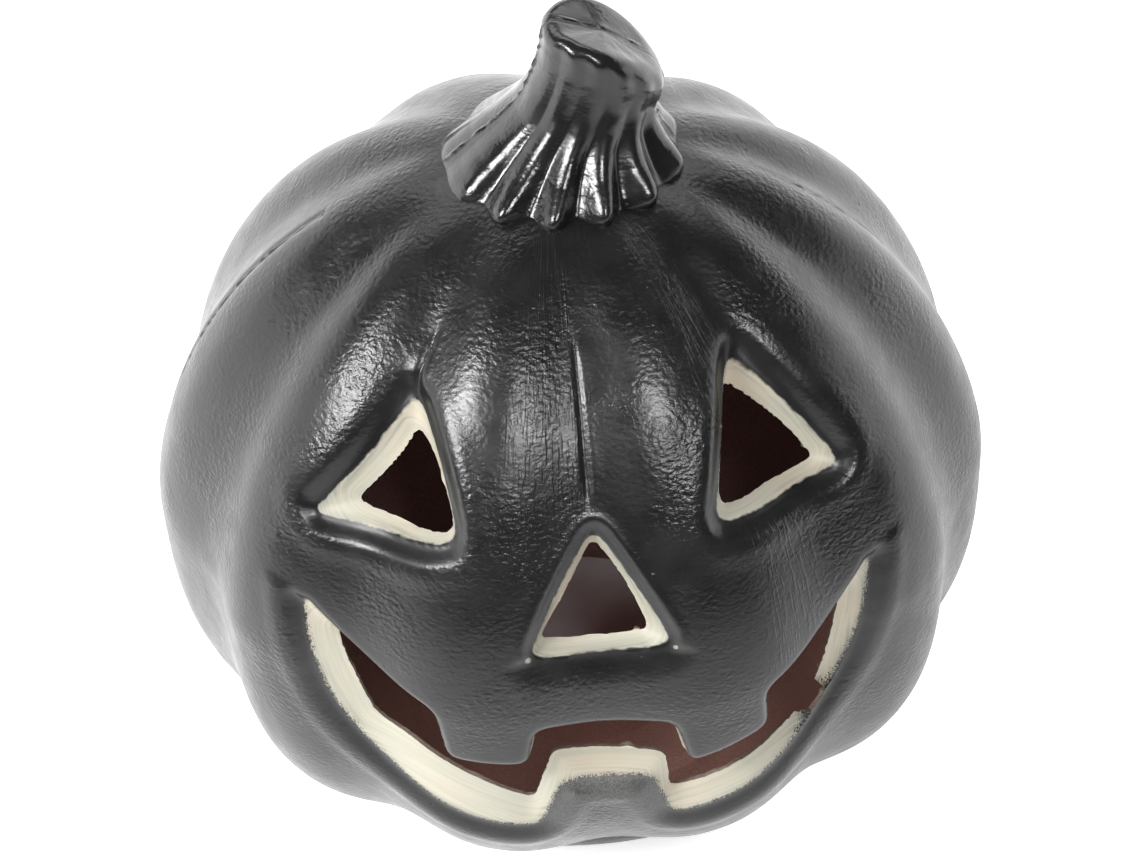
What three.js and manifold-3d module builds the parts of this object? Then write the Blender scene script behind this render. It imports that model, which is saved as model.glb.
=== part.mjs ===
// Black jack-o'-lantern: a hollow blow-moulded pumpkin with its stem and a cut face, and a battery light
// unit that pushes into the opening in its base.
// Millimetres, +Z up. The face looks along -Y. The origin is on the floor, under the middle of the body.

import * as THREE from "three";
import { mergeVertices } from "three/addons/utils/BufferGeometryUtils.js";
import Module from "manifold-3d";

const wasm = await Module();
wasm.setup();

// Gap between pieces that touch
const GAP = 0.3;

// Pumpkin body
const BODY_RADIUS = 95; // at the crest of a lobe
const BODY_DEPTH_RATIO = 0.976; // front to back against side to side
const WAIST_HEIGHT = 79.9;
const CROWN_RISE = 82;
const ROUND_POWER = 0.861; // how full the outline is, side to side
const CROWN_POWER = 1.257;
const BELLY_POWER = 0.655;
const WALL = 1.6;
const STEPS_PER_LOBE = 4;
const GROOVE_DEPTH = 4.4;
const GROOVE_POWER = 2.4; // higher is a narrower valley
const GROOVES = [0, 35, 66, 95, 125, 155, 180, 205, 235, 265, 294, 325]; // degrees from the face towards +X

// Base: standing ring, recess and the neck that takes the light unit
const RING_OUTER = 50;
const RING_INNER = 44;
const FOOT_TURN = { r: 57, z: 4.4 }; // where the belly turns in to the ring
const RECESS_RADIUS = 38;
const RECESS_HEIGHT = 4;
const NECK_RADIUS = 24.6;
const NECK_TOP = 13;

// Cut face: outline corners as seen from the front, [x, z]
const LEDGE_DEPTH = 5.5; // from the skin to the edge of the hole
const RIM_ROUNDING = 3;
const HOLE_ROUNDING = 1.2;
const EYE_LEFT = {
  rim: [[-32.8, 142], [-59, 116.5], [-26.6, 116.5]],
  hole: [[-32.6, 133], [-45.8, 119.8], [-29, 118.8]],
};
const EYE_RIGHT = {
  rim: [[31.8, 144], [57, 117], [23.5, 116.4]],
  hole: [[30.8, 135.5], [46.6, 120], [27.8, 118.8]],
};
const NOSE = {
  rim: [[-0.3, 123], [-15.3, 96.8], [16.1, 96.4]],
  hole: [[-0.2, 117.6], [-11.2, 100.9], [10.2, 99.9]],
};
const MOUTH = {
  rim: [
    [-61.8, 102], [-35, 84], [-31.5, 71], [-17.5, 70], [-12.5, 82], [14.5, 79], [18, 66], [34, 68.5],
    [35, 81], [62.2, 104], [57.9, 80], [48.7, 62], [35, 46], [19, 40], [9, 59], [-8, 62],
    [-17.5, 42], [-30, 46], [-44, 56.5], [-57.6, 72.5], [-62.3, 88],
  ],
  hole: [
    [-54, 93], [-36, 81], [-32, 68.5], [-17, 68], [-12, 79.5], [14, 76.5], [18.5, 64], [33, 66],
    [34.5, 78], [49.5, 91], [47, 79], [44, 68], [33, 58.5], [14, 53], [10.5, 66.5], [-9.7, 70.5],
    [-17, 55], [-26, 60], [-37, 67], [-48, 77], [-53.5, 85],
  ],
};

// Stem: [height, middle x, half width], from inside the body up to the cut top
const STEM_SECTIONS = [
  [150, 1.5, 20], [160.4, 1.8, 27.6], [162, 2.4, 26.4], [164.5, 3.4, 23.3], [168, 4.3, 20], [172.3, 7.1, 15.5],
  [177, 8.7, 13.8], [183, 10.9, 13], [188, 11.6, 12.4], [192, 11.4, 11.2],
];
const STEM_TOP_TILT = 0.36; // fall of the cut top per millimetre towards +X
const STEM_TOP_CENTRE = [11.2, 194];
const STEM_TOP_RADIUS = 9;
const STEM_RIBS = 8;
const STEM_RIB_DEPTH = 0.07;
const STEM_SEGMENTS = 40;
const STEM_WALL = 2;

// Light unit housing
const PLUG_RADIUS = 24;
const PLUG_WALL = 1.6;
const PLUG_TOP = 16.6;
const FLANGE_RADIUS = 29.5;
const FLOOR_LOW = 2;
const FLOOR_HIGH = RECESS_HEIGHT - GAP;
const COVER_THICKNESS = 1.6;
const COVER_LOW = PLUG_TOP + GAP;
const RIB_WALL = 1.2;

// Battery bay in the housing: three button cells lying in a row along X
const CELL_RADIUS = 5.8;
const CELL_LENGTH = 5.2;
const CELL_COUNT = 3;
const CELL_MIDDLE = { x: 0.8, y: 8.7, z: FLOOR_HIGH + 0.5 + CELL_RADIUS };
const BAY = { x: [-12, 10.6], y: [2.4, 15] };
const DOOR_WINDOW_END = 15;
const DOOR_TAB = { x: [13, 14.7], depth: 0.7 };

// Screws that hold the cover, driven from below
const SCREW_PLACES = [[-18.2, -3], [18.2, -3], [0, 19.3]];
const SCREW_HEAD_RADIUS = 1.9;
const SCREW_HEAD_HEIGHT = 1.1;
const SCREW_SHANK_RADIUS = 0.8;
const SCREW_TOP = 12;
const POST_RADIUS = 2.2;
const POST_LOW = FLOOR_HIGH + GAP;

// Light circuit
const LED = { x: 0, y: -11, radius: 2.5, flange: 2.9, height: 9 };
const BOARD = { x: [-11, 11], y: [-15, -4.4], z: [9.4, 10.6] };
const SWITCH = { x: [-4.5, 4.5], y: [-20.2, -15.6], z: [FLOOR_HIGH + GAP, 7.8] };
const SLIDER = { x: -2, y: -17.9, halfWidth: 1.3, halfDepth: 0.8, low: 0.8 };
const SLIDER_TRAVEL = 4;
const WIRE_RADIUS = 0.5;

const materials = {
  blackPlastic: { color: 0x262626, roughness: 0.42, metalness: 0 },
  housingPlastic: { color: 0x6e6262, roughness: 0.5, metalness: 0 },
  switchPlastic: { color: 0x1c1c1e, roughness: 0.45, metalness: 0 },
  amberLens: { color: 0xe8a040, roughness: 0.15, metalness: 0 },
  board: { color: 0x2f5a38, roughness: 0.55, metalness: 0 },
  epoxy: { color: 0x141414, roughness: 0.3, metalness: 0 },
  resistorBody: { color: 0xc9ad80, roughness: 0.5, metalness: 0 },
  redWire: { color: 0x9c2020, roughness: 0.5, metalness: 0 },
  blackWire: { color: 0x202020, roughness: 0.5, metalness: 0 },
  steel: { color: 0xb8b8ba, roughness: 0.3, metalness: 1 },
  zincScrew: { color: 0x9a9a98, roughness: 0.4, metalness: 1 },
};

const part = new THREE.Group();

function addPiece(name, geometry, finish) {
  const mesh = new THREE.Mesh(geometry, new THREE.MeshStandardMaterial(finish));
  mesh.name = name;
  part.add(mesh);
}

// Solids: geometry to manifold and back

function toSolid(geometry) {
  const bare = geometry.clone();
  bare.deleteAttribute("normal");
  bare.deleteAttribute("uv");
  const merged = mergeVertices(bare, 1e-4);
  return new wasm.Manifold(
    new wasm.Mesh({
      numProp: 3,
      vertProperties: new Float32Array(merged.attributes.position.array),
      triVerts: new Uint32Array(merged.index.array),
    }),
  );
}

function toGeometry(solid) {
  const mesh = solid.getMesh();
  const geometry = new THREE.BufferGeometry();
  geometry.setAttribute("position", new THREE.BufferAttribute(mesh.vertProperties, 3));
  geometry.setIndex(new THREE.BufferAttribute(mesh.triVerts, 1));
  geometry.computeVertexNormals();
  return geometry;
}

function join(base, ...others) {
  return others.reduce((whole, next) => whole.add(next), base);
}

function cut(base, ...tools) {
  return tools.reduce((whole, tool) => whole.subtract(tool), base);
}

// Simple shapes, all standing along Z

function block([x0, x1], [y0, y1], [z0, z1]) {
  const box = new THREE.BoxGeometry(x1 - x0, y1 - y0, z1 - z0);
  return box.translate((x0 + x1) / 2, (y0 + y1) / 2, (z0 + z1) / 2);
}

function rod(radius, low, high, x = 0, y = 0, segments = 36) {
  const cylinder = new THREE.CylinderGeometry(radius, radius, high - low, segments);
  return cylinder.rotateX(Math.PI / 2).translate(x, y, (low + high) / 2);
}

// A turned shape from [radius, height] points that start and end on the axis
function turned(profile, segments) {
  const points = profile.map(([radius, height]) => new THREE.Vector2(radius, height));
  return new THREE.LatheGeometry(points, segments).rotateX(Math.PI / 2);
}

function tube(points, radius, halfSides, steps) {
  const section = new THREE.Shape();
  section.absarc(0, 0, radius, 0, 2 * Math.PI);
  const path = new THREE.CatmullRomCurve3(points.map((p) => new THREE.Vector3(...p)));
  return new THREE.ExtrudeGeometry(section, { steps, curveSegments: halfSides, extrudePath: path });
}

// Lofts: skins stretched over rings of points

function facesBetween(first, second, count) {
  const faces = [];
  for (let i = 0; i < count; i++) {
    const j = (i + 1) % count;
    faces.push([first + i, first + j, second + j], [first + i, second + j, second + i]);
  }
  return faces;
}

// Triangles that fill a ring, wound the same way as the ring, seen in X and the named other axis
function capFaces(ring, axis, start) {
  const flat = ring.map((p) => new THREE.Vector2(p.x, p[axis]));
  const ringArea = THREE.ShapeUtils.area(flat);
  return THREE.ShapeUtils.triangulateShape(flat, []).map((face) => {
    const faceArea = THREE.ShapeUtils.area(face.map((i) => flat[i]));
    const wound = faceArea * ringArea > 0 ? face : [...face].reverse();
    return wound.map((i) => start + i);
  });
}

function signedVolume(points, faces) {
  return faces.reduce((sum, [a, b, c]) => {
    return sum + points[a].dot(new THREE.Vector3().crossVectors(points[b], points[c]));
  }, 0);
}

function skin(points, faces) {
  const facing = signedVolume(points, faces) > 0 ? faces : faces.map((face) => [...face].reverse());
  const geometry = new THREE.BufferGeometry().setFromPoints(points);
  geometry.setIndex(facing.flat());
  geometry.computeVertexNormals();
  return geometry;
}

// A loft with its two end rings filled
function loft(rings, axis) {
  const count = rings[0].length;
  const last = (rings.length - 1) * count;
  const faces = rings.slice(1).flatMap((_, k) => facesBetween(k * count, (k + 1) * count, count));
  faces.push(...capFaces(rings[0], axis, 0).map((face) => [...face].reverse()));
  faces.push(...capFaces(rings[rings.length - 1], axis, last));
  return skin(rings.flat(), faces);
}

// A loft whose last ring joins its first, like a frame
function loopLoft(rings) {
  const count = rings[0].length;
  const faces = rings.flatMap((_, k) => facesBetween(k * count, ((k + 1) % rings.length) * count, count));
  return skin(rings.flat(), faces);
}

// Pumpkin body

const radians = THREE.MathUtils.degToRad;

// 0 on the crest of a lobe, 1 in a valley
function valley(angle) {
  const turn = THREE.MathUtils.euclideanModulo(THREE.MathUtils.radToDeg(angle), 360);
  const lobe = GROOVES.findLastIndex((groove) => groove <= turn);
  const low = GROOVES[lobe];
  const high = GROOVES[lobe + 1] ?? 360;
  return Math.abs(Math.cos((Math.PI * (turn - low)) / (high - low))) ** GROOVE_POWER;
}

// Crest outline by latitude, from the top at +90 degrees to below the waist
function crest(latitude) {
  const sine = Math.sin(latitude);
  const rise = sine > 0 ? CROWN_RISE * sine ** CROWN_POWER : -WAIST_HEIGHT * (-sine) ** BELLY_POWER;
  return { r: BODY_RADIUS * Math.abs(Math.cos(latitude)) ** ROUND_POWER, z: WAIST_HEIGHT + rise };
}

// The closed outline of the skin, top to neck, as { r, z, groove, squeeze }
function outerOutline() {
  const outline = [];
  for (let degrees = 86; degrees >= -50; degrees -= 8) {
    const { r, z } = crest(radians(degrees));
    const groove = THREE.MathUtils.smoothstep(r, 18, 60);
    outline.push({ r, z, groove, squeeze: 1 });
  }
  outline.push({ ...FOOT_TURN, groove: 0.4, squeeze: 0.5 });
  outline.push({ r: RING_OUTER, z: 0, groove: 0, squeeze: 0 });
  outline.push({ r: RING_INNER, z: 0, groove: 0, squeeze: 0 });
  outline.push({ r: RECESS_RADIUS, z: RECESS_HEIGHT, groove: 0, squeeze: 0 });
  outline.push({ r: NECK_RADIUS, z: RECESS_HEIGHT, groove: 0, squeeze: 0 });
  return outline;
}

// The same outline moved in by one wall
function innerOutline(outline) {
  return outline.map((row, k) => {
    const before = outline[Math.max(k - 1, 0)];
    const after = outline[Math.min(k + 1, outline.length - 1)];
    const run = Math.hypot(after.r - before.r, after.z - before.z);
    const outR = (before.z - after.z) / run;
    const outZ = (after.r - before.r) / run;
    return { ...row, r: row.r - WALL * outR, z: row.z - WALL * outZ };
  });
}

// Directions of the points round a ring, the same number on each lobe
const RING_ANGLES = GROOVES.flatMap((low, lobe) => {
  const width = (GROOVES[lobe + 1] ?? 360) - low;
  return Array.from({ length: STEPS_PER_LOBE }, (_, i) => radians(low + (width * i) / STEPS_PER_LOBE));
});

function bodyRing({ r, z, groove, squeeze }) {
  return RING_ANGLES.map((angle) => {
    const radius = r - GROOVE_DEPTH * groove * valley(angle);
    const depth = THREE.MathUtils.lerp(1, BODY_DEPTH_RATIO, squeeze);
    return new THREE.Vector3(radius * Math.sin(angle), -depth * radius * Math.cos(angle), z);
  });
}

// y of the skin in front at a given x and z
function skinFront(x, z) {
  const share = Math.abs(z - WAIST_HEIGHT);
  const sine =
    z > WAIST_HEIGHT ? (share / CROWN_RISE) ** (1 / CROWN_POWER) : (share / WAIST_HEIGHT) ** (1 / BELLY_POWER);
  const { r } = crest(Math.asin(Math.min(sine, 1)));
  let angle = Math.asin(x / r);
  for (let pass = 0; pass < 4; pass++) {
    angle = Math.asin(x / (r - GROOVE_DEPTH * valley(angle)));
  }
  return -BODY_DEPTH_RATIO * (r - GROOVE_DEPTH * valley(angle)) * Math.cos(angle);
}

// Cut face

// Corners moved outwards by a distance, each to where its two moved edges meet
function offsetCorners(corners, distance) {
  const turn = Math.sign(THREE.ShapeUtils.area(corners.map(([x, z]) => new THREE.Vector2(x, z))));
  return corners.map(([x, z], i) => {
    const [px, pz] = corners.at(i - 1);
    const [nx, nz] = corners[(i + 1) % corners.length];
    const into = new THREE.Vector2(x - px, z - pz).normalize();
    const out = new THREE.Vector2(nx - x, nz - z).normalize();
    const normalIn = new THREE.Vector2(into.y, -into.x);
    const normalOut = new THREE.Vector2(out.y, -out.x);
    const middle = normalIn.add(normalOut);
    const reach = (2 * distance * turn) / middle.lengthSq();
    return [x + middle.x * reach, z + middle.y * reach];
  });
}

// An outline through the corners, each rounded
function roundedOutline(corners, radius) {
  const points = [];
  corners.forEach(([x, z], i) => {
    const corner = new THREE.Vector2(x, z);
    const before = new THREE.Vector2(...corners.at(i - 1));
    const after = new THREE.Vector2(...corners[(i + 1) % corners.length]);
    const reach = Math.min(radius, 0.4 * corner.distanceTo(before), 0.4 * corner.distanceTo(after));
    const from = corner.clone().add(before.clone().sub(corner).setLength(reach));
    const to = corner.clone().add(after.clone().sub(corner).setLength(reach));
    points.push(from, new THREE.QuadraticBezierCurve(from, corner, to).getPoint(0.5), to);
  });
  return points;
}

function onSkin(outline, depth) {
  return outline.map((p) => new THREE.Vector3(p.x, skinFront(p.x, p.y) + depth, p.y));
}

function atDepth(outline, y) {
  return outline.map((p) => new THREE.Vector3(p.x, y, p.y));
}

// What is cut away: the pocket from the rim down to the hole, and the hole right through
function pocketTool({ rim, hole }) {
  const rimOutline = roundedOutline(rim, RIM_ROUNDING);
  const holeOutline = roundedOutline(hole, HOLE_ROUNDING);
  const rings = [
    atDepth(rimOutline, -1.3 * BODY_RADIUS),
    onSkin(rimOutline, 0),
    onSkin(holeOutline, LEDGE_DEPTH),
    atDepth(holeOutline, -0.4 * BODY_RADIUS),
  ];
  return toSolid(loft(rings, "z"));
}

// The wall behind the pocket's ledge
function pocketWall({ rim, hole }) {
  const rimAt = (offset) => roundedOutline(offsetCorners(rim, offset), RIM_ROUNDING);
  const holeAt = (offset) => roundedOutline(offsetCorners(hole, offset), HOLE_ROUNDING);
  const overlap = 0.6;
  return toSolid(
    loopLoft([
      onSkin(rimAt(WALL), overlap),
      onSkin(rimAt(WALL), WALL + overlap),
      onSkin(holeAt(WALL), LEDGE_DEPTH + WALL),
      onSkin(holeAt(-overlap), LEDGE_DEPTH + WALL),
      onSkin(holeAt(-overlap), LEDGE_DEPTH - overlap),
      onSkin(rimAt(-overlap), overlap),
    ]),
  );
}

// Stem

function stemRing([height, middle, halfWidth], inset, tilt) {
  const flare = THREE.MathUtils.smoothstep(halfWidth, 12, 27);
  const ribs = STEM_RIB_DEPTH * (0.6 + flare);
  return Array.from({ length: STEM_SEGMENTS }, (_, i) => {
    const angle = (2 * Math.PI * i) / STEM_SEGMENTS;
    const radius = halfWidth * (1 - ribs * (1 - Math.cos(STEM_RIBS * angle)) * 0.5) - inset;
    const x = radius * Math.cos(angle);
    return new THREE.Vector3(middle + x, radius * Math.sin(angle), height - tilt * x);
  });
}

function stemSolid(inset) {
  const rings = STEM_SECTIONS.map((section, k) => {
    const tilt = STEM_TOP_TILT * (k / (STEM_SECTIONS.length - 1)) ** 4;
    return stemRing(section, inset, tilt);
  });
  if (inset === 0) {
    const [x, z] = STEM_TOP_CENTRE;
    rings.push(stemRing([z, x, STEM_TOP_RADIUS], 0, STEM_TOP_TILT));
  }
  return toSolid(loft(rings, "y"));
}

function shell() {
  const outline = outerOutline();
  const outside = toSolid(loft(outline.map(bodyRing), "y"));
  const inside = toSolid(loft(innerOutline(outline).map(bodyRing), "y"));
  const walls = cut(join(outside, stemSolid(0)), inside, stemSolid(STEM_WALL));
  const neck = toSolid(rod(NECK_RADIUS + WALL, RECESS_HEIGHT + WALL / 2, NECK_TOP));
  const bore = toSolid(rod(NECK_RADIUS, -1, NECK_TOP + 1));
  const pockets = [EYE_LEFT, EYE_RIGHT, NOSE, MOUTH];
  const lined = join(walls, neck, ...pockets.map(pocketWall));
  return toGeometry(cut(lined, bore, ...pockets.map(pocketTool)));
}

// Light unit

function screwHoles(radius, low, high) {
  return SCREW_PLACES.map(([x, y]) => toSolid(rod(radius, low, high, x, y, 16)));
}

function lightHousing() {
  const inner = PLUG_RADIUS - PLUG_WALL;
  const wall = cut(toSolid(rod(PLUG_RADIUS, FLOOR_LOW, PLUG_TOP, 0, 0, 36)), toSolid(rod(inner, FLOOR_HIGH, 30)));
  const flange = toSolid(rod(FLANGE_RADIUS, FLOOR_LOW, FLOOR_HIGH, 0, 0, 36));
  const bayTop = CELL_MIDDLE.z + CELL_RADIUS;
  const bayWall = toSolid(
    block([BAY.x[0] - RIB_WALL, BAY.x[1] + RIB_WALL], [BAY.y[0] - RIB_WALL, BAY.y[1] + RIB_WALL], [FLOOR_LOW, bayTop]),
  );
  const bayHollow = toSolid(block(BAY.x, BAY.y, [FLOOR_LOW - 1, bayTop + 1]));
  const window = toSolid(block([BAY.x[0], DOOR_WINDOW_END], BAY.y, [FLOOR_LOW - 1, FLOOR_HIGH]));
  const slotHalf = SLIDER_TRAVEL / 2 + SLIDER.halfWidth + GAP;
  const slotDepth = SLIDER.halfDepth + GAP;
  const slot = toSolid(
    block([-slotHalf, slotHalf], [SLIDER.y - slotDepth, SLIDER.y + slotDepth], [FLOOR_LOW - 1, FLOOR_HIGH + 1]),
  );
  return toGeometry(
    cut(
      join(wall, flange, bayWall),
      bayHollow,
      window,
      slot,
      ...screwHoles(SCREW_SHANK_RADIUS + GAP, FLOOR_LOW - 1, FLOOR_HIGH + 1),
      ...screwHoles(SCREW_HEAD_RADIUS + GAP, FLOOR_LOW - 1, FLOOR_LOW + SCREW_HEAD_HEIGHT),
    ),
  );
}

function lightCover() {
  const plate = toSolid(rod(PLUG_RADIUS, COVER_LOW, COVER_LOW + COVER_THICKNESS, 0, 0, 36));
  const posts = SCREW_PLACES.map(([x, y]) => toSolid(rod(POST_RADIUS, POST_LOW, COVER_LOW + 0.5, x, y, 24)));
  const lensHole = toSolid(rod(LED.radius + GAP, COVER_LOW - 1, 30, LED.x, LED.y, 24));
  return toGeometry(cut(join(plate, ...posts), lensHole, ...screwHoles(SCREW_SHANK_RADIUS + GAP, 0, SCREW_TOP + 1)));
}

function coverScrew() {
  const headTop = FLOOR_LOW + SCREW_HEAD_HEIGHT - GAP;
  return turned(
    [
      [0, FLOOR_LOW + 0.1],
      [SCREW_HEAD_RADIUS, FLOOR_LOW + 0.1],
      [SCREW_HEAD_RADIUS, headTop - 0.2],
      [SCREW_SHANK_RADIUS, headTop],
      [SCREW_SHANK_RADIUS, SCREW_TOP - 1],
      [0, SCREW_TOP],
    ],
    16,
  );
}

function batteryDoor() {
  const plate = toSolid(
    block(
      [BAY.x[0] + GAP, DOOR_WINDOW_END - GAP],
      [BAY.y[0] + GAP, BAY.y[1] - GAP],
      [FLOOR_LOW, FLOOR_HIGH - GAP],
    ),
  );
  const grip = toSolid(block(DOOR_TAB.x, [BAY.y[0] + 4, BAY.y[1] - 4], [0, FLOOR_LOW + DOOR_TAB.depth]));
  return toGeometry(cut(plate, grip));
}

// A button cell with its narrower cap on the -X side
function buttonCell() {
  const half = CELL_LENGTH / 2;
  const cell = turned(
    [
      [0, -half],
      [CELL_RADIUS - 0.3, -half],
      [CELL_RADIUS, -half + 0.3],
      [CELL_RADIUS, half - 1],
      [CELL_RADIUS - 0.9, half - 0.5],
      [CELL_RADIUS - 1.2, half],
      [0, half],
    ],
    20,
  );
  return cell.rotateY(-Math.PI / 2);
}

function cellPlace(index) {
  const pitch = CELL_LENGTH + GAP;
  return CELL_MIDDLE.x + (index - (CELL_COUNT - 1) / 2) * pitch;
}

function contactSpring() {
  const turns = 2.5;
  const start = BAY.x[0] + 1.2;
  const end = cellPlace(0) - CELL_LENGTH / 2 - 0.7;
  const wireRadius = 0.3;
  const points = Array.from({ length: 31 }, (_, i) => {
    const share = i / 30;
    const angle = 2 * Math.PI * turns * share;
    const radius = THREE.MathUtils.lerp(4, 2, share);
    return [
      THREE.MathUtils.lerp(start, end, share),
      CELL_MIDDLE.y + radius * Math.cos(angle),
      CELL_MIDDLE.z + radius * Math.sin(angle),
    ];
  });
  return tube(points, wireRadius, 3, 40);
}

// A thin plate against one end of the bay
function contactPlate(x) {
  return block([x, x + 0.4], [BAY.y[0] + 1, BAY.y[1] - 1], [FLOOR_HIGH + 1, CELL_MIDDLE.z + CELL_RADIUS - 0.6]);
}

function ledGeometry() {
  const low = BOARD.z[1] + GAP;
  const dome = 2.5;
  const profile = [[0, low], [LED.flange, low], [LED.flange, low + 1], [LED.radius, low + 1]];
  for (let step = 0; step <= 5; step++) {
    const angle = (Math.PI / 2) * (step / 5);
    profile.push([LED.radius * Math.cos(angle), low + LED.height - dome + dome * Math.sin(angle)]);
  }
  profile[profile.length - 1][0] = 0;
  return turned(profile, 24);
}

function flickerChip() {
  const low = BOARD.z[1] + GAP;
  return turned([[0, low], [2.2, low], [2, low + 0.6], [1.2, low + 1.1], [0, low + 1.3]], 20);
}

function resistor() {
  const body = turned([[0, -4], [0.25, -4], [0.25, -2], [0.8, -1.8], [0.8, 1.8], [0.25, 2], [0.25, 4], [0, 4]], 16);
  return body.rotateY(Math.PI / 2);
}

function switchBody() {
  const body = block(SWITCH.x, SWITCH.y, SWITCH.z);
  const [tagLow, tagHigh] = [SWITCH.z[1] - 0.2, SWITCH.z[1] + 1.2];
  const middle = (SWITCH.y[0] + SWITCH.y[1]) / 2;
  const tags = [-2.5, 0, 2.5].map((x) => toSolid(block([x - 0.4, x + 0.4], [middle - 0.2, middle + 0.2], [tagLow, tagHigh])));
  return toGeometry(join(toSolid(body), ...tags));
}

function switchSlider() {
  const y = [SLIDER.y - SLIDER.halfDepth, SLIDER.y + SLIDER.halfDepth];
  return block([SLIDER.x - SLIDER.halfWidth, SLIDER.x + SLIDER.halfWidth], y, [SLIDER.low, FLOOR_HIGH]);
}

function wire(fromX) {
  const side = Math.sign(fromX);
  const boardY = (BOARD.y[0] + BOARD.y[1]) / 2;
  return tube(
    [
      [fromX, 6, 13],
      [side * 15, 3, 13.8],
      [side * 14, -2, 13.9],
      [side * 11.5, -6, 13.2],
      [side * 8.5, boardY, BOARD.z[1] + 1.2],
    ],
    WIRE_RADIUS,
    4,
    16,
  );
}

addPiece("shell", shell(), materials.blackPlastic);
addPiece("light_housing", lightHousing(), materials.housingPlastic);
addPiece("light_cover", lightCover(), materials.housingPlastic);
SCREW_PLACES.forEach(([x, y], i) => {
  addPiece(`cover_screw_${i + 1}`, coverScrew().translate(x, y, 0), materials.zincScrew);
});
addPiece("battery_door", batteryDoor(), materials.housingPlastic);
for (let i = 0; i < CELL_COUNT; i++) {
  const cell = buttonCell().translate(cellPlace(i), CELL_MIDDLE.y, CELL_MIDDLE.z);
  addPiece(`button_cell_${i + 1}`, cell, materials.steel);
}
addPiece("contact_spring", contactSpring(), materials.steel);
addPiece("contact_plate_negative", contactPlate(BAY.x[0] + GAP), materials.steel);
addPiece("contact_plate_positive", contactPlate(BAY.x[1] - GAP - 0.4), materials.steel);
addPiece("led_board", block(BOARD.x, BOARD.y, BOARD.z), materials.board);
addPiece("led", ledGeometry().translate(LED.x, LED.y, 0), materials.amberLens);
addPiece("flicker_chip", flickerChip().translate(-6.5, -8, 0), materials.epoxy);
addPiece("resistor", resistor().translate(6, -6.4, BOARD.z[1] + 1.2), materials.resistorBody);
addPiece("wire_negative", wire(BAY.x[0] - RIB_WALL - 1), materials.blackWire);
addPiece("wire_positive", wire(BAY.x[1] + RIB_WALL + 1), materials.redWire);
addPiece("switch_body", switchBody(), materials.steel);
addPiece("switch_slider", switchSlider(), materials.switchPlastic);

export default part;
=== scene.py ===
"""Black jack-o'-lantern: a painted plastic moulding with a cut face, and a battery light unit in its base.

Shapes are worked out in millimetres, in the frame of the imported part, and turned into metres when a mesh is
made.
"""

import math

import bpy
import numpy as np
from mathutils import Matrix, Vector


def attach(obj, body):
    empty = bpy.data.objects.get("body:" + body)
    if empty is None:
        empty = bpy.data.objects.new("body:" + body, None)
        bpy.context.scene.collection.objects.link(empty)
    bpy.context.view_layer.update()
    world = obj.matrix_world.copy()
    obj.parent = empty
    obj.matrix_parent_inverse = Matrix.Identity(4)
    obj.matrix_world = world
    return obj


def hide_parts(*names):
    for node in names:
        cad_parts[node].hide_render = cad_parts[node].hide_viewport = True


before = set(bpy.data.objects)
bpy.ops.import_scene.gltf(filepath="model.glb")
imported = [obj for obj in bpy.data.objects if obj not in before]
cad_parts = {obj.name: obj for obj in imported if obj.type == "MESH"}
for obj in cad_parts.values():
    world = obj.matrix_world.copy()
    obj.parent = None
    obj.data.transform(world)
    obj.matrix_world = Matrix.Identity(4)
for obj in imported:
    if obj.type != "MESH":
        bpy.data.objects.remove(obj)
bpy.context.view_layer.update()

MM = 0.001

# Camera
CAMERA_AZIMUTH = -2.6  # degrees round from the face towards +X
CAMERA_ELEVATION = 42.0
CAMERA_ROLL = -3.4
CAMERA_DISTANCE = 712.5
CAMERA_TARGET_HEIGHT = 71.25
CAMERA_LENS = 97.4
CAMERA_SHIFT = (-0.0006, 0.0321)

# Pumpkin body
BODY_RADIUS = 95
BODY_DEPTH_RATIO = 0.969
SIDE_FLATTENING = 0.0125  # share by which the outermost lobes are narrower
WAIST_HEIGHT = 79.9
CROWN_RISE = 82
ROUND_POWER = 0.861
CROWN_POWER = 1.257
BELLY_POWER = 0.655
WALL = 1.2
GROOVE_DEPTH = 4.6
GROOVE_POWER = 2.4
GROOVES = [-180, -138, -103, -66, -35, 0, 35, 66, 95, 125, 155, 180]  # degrees from the face towards +X
RING_OUTER = 50
RING_INNER = 44
RECESS_RADIUS = 38
RECESS_HEIGHT = 4
NECK_RADIUS = 24.6
NECK_TOP = 13

# Cut face, seen from the front. Each corner is (x, z, bow), and the side after it bows that far to the left
# of the way it runs. "cream" is where the cream paint ends, "hole" is the cut edge.
EYE_LEFT = {
    "cream": [(-33.5, 139, 1), (-28, 119, 2), (-57.5, 115.5, -0.5)],
    "hole": [(-35, 134.5, 1), (-29.5, 120, 1.5), (-49, 118.5, -0.5)],
}
EYE_RIGHT = {
    "cream": [(32, 141, 1), (54.5, 116.5, 1.5), (26, 119, 0)],
    "hole": [(32, 138, 1), (50, 118.5, 1), (28.5, 121, 0)],
}
NOSE = {
    "cream": [(0.5, 119.5, 0.5), (15, 96.5, 1.5), (-14.5, 96, 1)],
    "hole": [(0, 117.5, 1), (10, 98, 1), (-12, 98.5, -0.5)],
}
UPPER_LIP = [
    (-61, 98.5, -2.5), (-36, 81.5, 0), (-34, 68, 0), (-16.5, 67, 0), (-14.5, 77, 0), (14.5, 75.5, 0),
    (17.5, 63, 0), (35.5, 68.5, 0), (35, 79.5, -3),
]
LOWER_LIP = [(59.5, 97, 14), (13.5, 42.5, 0), (9.5, 57.5, 0), (-9.5, 58.5, 0), (-15, 42.5, 16.5)]
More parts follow.
